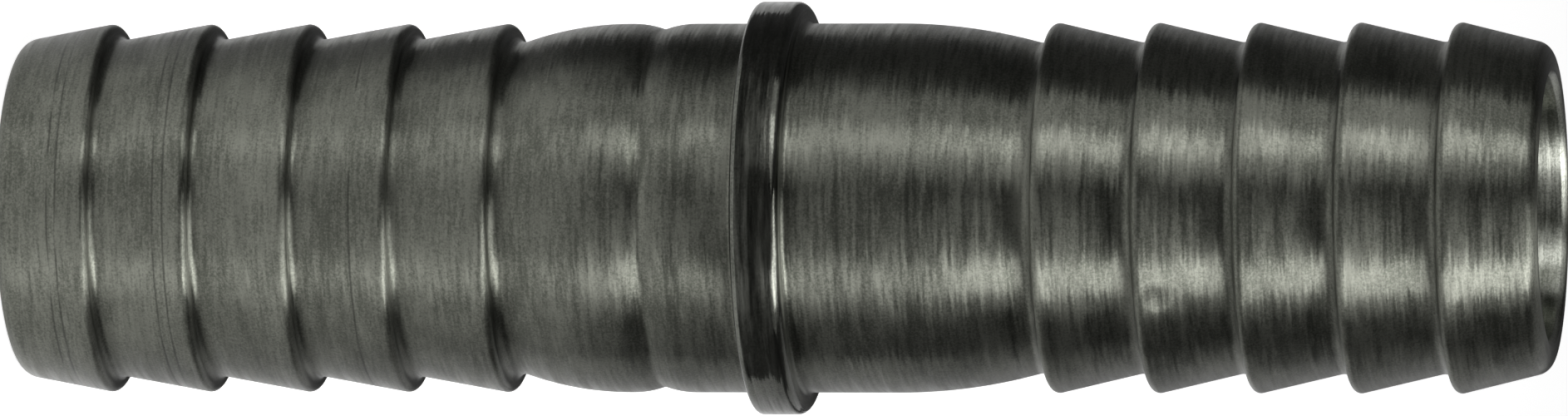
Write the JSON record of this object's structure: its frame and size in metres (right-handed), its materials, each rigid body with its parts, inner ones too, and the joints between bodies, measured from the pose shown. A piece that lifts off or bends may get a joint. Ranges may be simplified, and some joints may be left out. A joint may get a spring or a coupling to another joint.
{
  "type": "hose splicer",
  "caption": "Straight steel hose splicer with a barbed shank on each side of a stop collar and a bore right through.",
  "frame": {"origin": "centre of the end face of the grooved shank, on which it stands", "axes": "+Z along the bore's axis, from the grooved shank's end to the plain shank's end"},
  "size_m": [0.0234, 0.0234, 0.088],
  "materials": {
    "turned_steel": "turned, dark, with fine tool marks round the axis"
  },
  "bodies": {
    "root": {"splicer": "turned_steel"}
  },
  "joints": []
}
